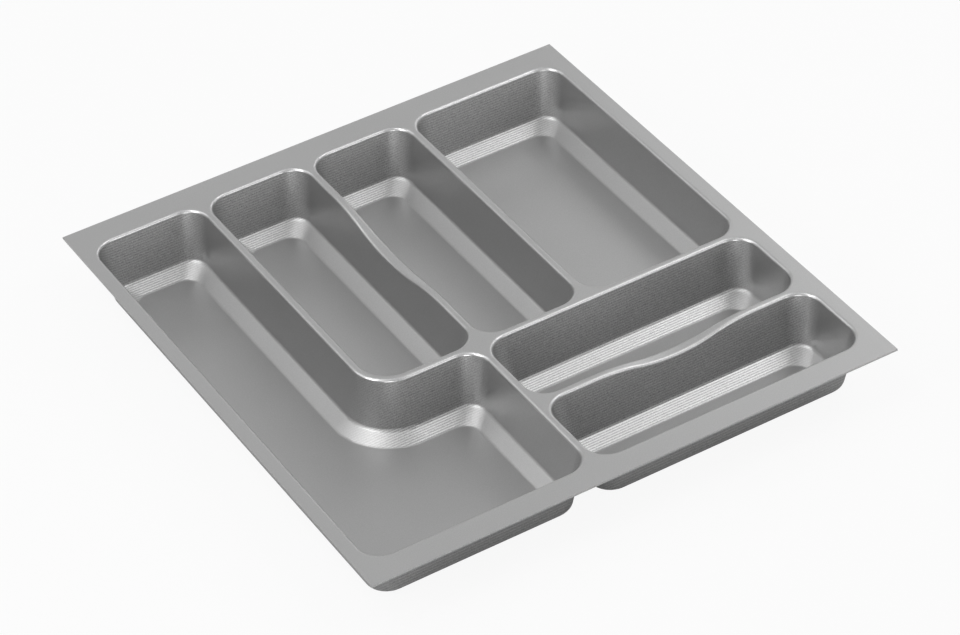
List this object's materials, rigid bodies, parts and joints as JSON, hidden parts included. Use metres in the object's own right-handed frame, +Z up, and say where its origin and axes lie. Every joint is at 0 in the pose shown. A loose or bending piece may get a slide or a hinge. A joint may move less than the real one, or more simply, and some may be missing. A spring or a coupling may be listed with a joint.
{
  "type": "cutlery tray",
  "caption": "Grey thermoformed drawer tray for cutlery, with drafted long slots, a wide bay, an L-shaped bay, cross slots and dipped dividers in a flat rim.",
  "frame": {"origin": "centre of the tray's plan, on the plane that the compartment floors stand on", "axes": "+X to the right along the front edge, +Y from the front edge to the back edge, +Z up out of the compartments"},
  "size_m": [0.455, 0.49, 0.052],
  "materials": {
    "tray_plastic": "satin, fine linear grain"
  },
  "bodies": {
    "root": {"rim_flange": "tray_plastic", "l_shaped_tub": "tray_plastic", "left_slot_tub": "tray_plastic", "right_slot_tub": "tray_plastic", "wide_tub": "tray_plastic", "rear_cross_tub": "tray_plastic", "front_cross_tub": "tray_plastic", "left_long_divider": "tray_plastic", "saddle_long_divider": "tray_plastic", "right_long_divider": "tray_plastic", "row_divider": "tray_plastic", "foot_divider": "tray_plastic", "saddle_cross_divider": "tray_plastic"}
  },
  "joints": []
}
